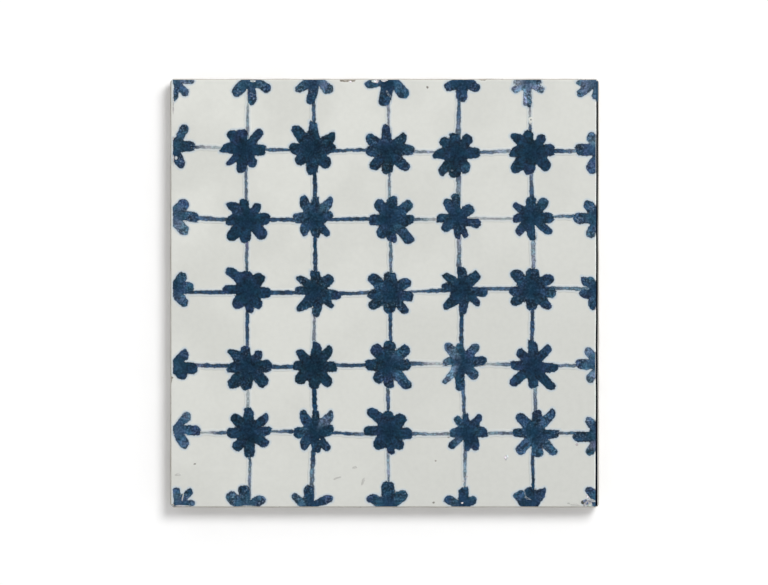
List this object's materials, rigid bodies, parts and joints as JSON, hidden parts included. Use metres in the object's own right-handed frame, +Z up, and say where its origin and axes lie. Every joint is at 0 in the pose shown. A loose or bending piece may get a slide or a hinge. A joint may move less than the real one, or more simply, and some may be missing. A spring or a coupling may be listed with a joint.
{
  "type": "floor tile",
  "caption": "Square glazed clay floor tile, hand painted in cobalt blue on off-white with a lattice of thin lines and a brush flower at every crossing.",
  "frame": {"origin": "middle of the underside, on the plane that the tile lies on", "axes": "+Z up through the painted face, +Y towards the top edge of the pattern, +X towards the edge with the dark line"},
  "size_m": [0.2, 0.2, 0.01],
  "materials": {
    "biscuit": "matt fired clay",
    "tin_glaze": "satin opaque off-white glaze",
    "cobalt": "dense fired cobalt brushwork",
    "cobalt_wash": "thin fired cobalt wash",
    "line_blue": "fired cobalt brush line",
    "edge_blue": "near-black fired cobalt line"
  },
  "bodies": {
    "root": {"clay_body": "biscuit", "glaze_coat": "tin_glaze", "line_lattice": "line_blue", "edge_line": "edge_blue", "star_A1": "cobalt", "star_B1": "cobalt", "star_C1": "cobalt", "star_D1": "cobalt", "star_E1": "cobalt", "star_F1": "cobalt_wash", "star_G1": "cobalt_wash", "star_A2": "cobalt", "star_B2": "cobalt", "star_C2": "cobalt", "star_D2": "cobalt", "star_E2": "cobalt", "star_F2": "cobalt", "star_G2": "cobalt_wash", "star_A3": "cobalt_wash", "star_B3": "cobalt", "star_C3": "cobalt", "star_D3": "cobalt", "star_E3": "cobalt", "star_F3": "cobalt", "star_G3": "cobalt_wash", "star_A4": "cobalt", "star_B4": "cobalt", "star_C4": "cobalt", "star_D4": "cobalt", "star_E4": "cobalt", "star_F4": "cobalt", "star_G4": "cobalt", "star_A5": "cobalt", "star_B5": "cobalt", "star_C5": "cobalt", "star_D5": "cobalt", "star_E5": "cobalt", "star_F5": "cobalt", "star_G5": "cobalt_wash", "star_A6": "cobalt_wash", "star_B6": "cobalt", "star_C6": "cobalt", "star_D6": "cobalt", "star_E6": "cobalt", "star_F6": "cobalt", "star_G6": "cobalt", "star_A7": "cobalt", "star_B7": "cobalt", "star_C7": "cobalt", "star_D7": "cobalt", "star_E7": "cobalt", "star_F7": "cobalt", "star_G7": "cobalt"}
  },
  "joints": []
}
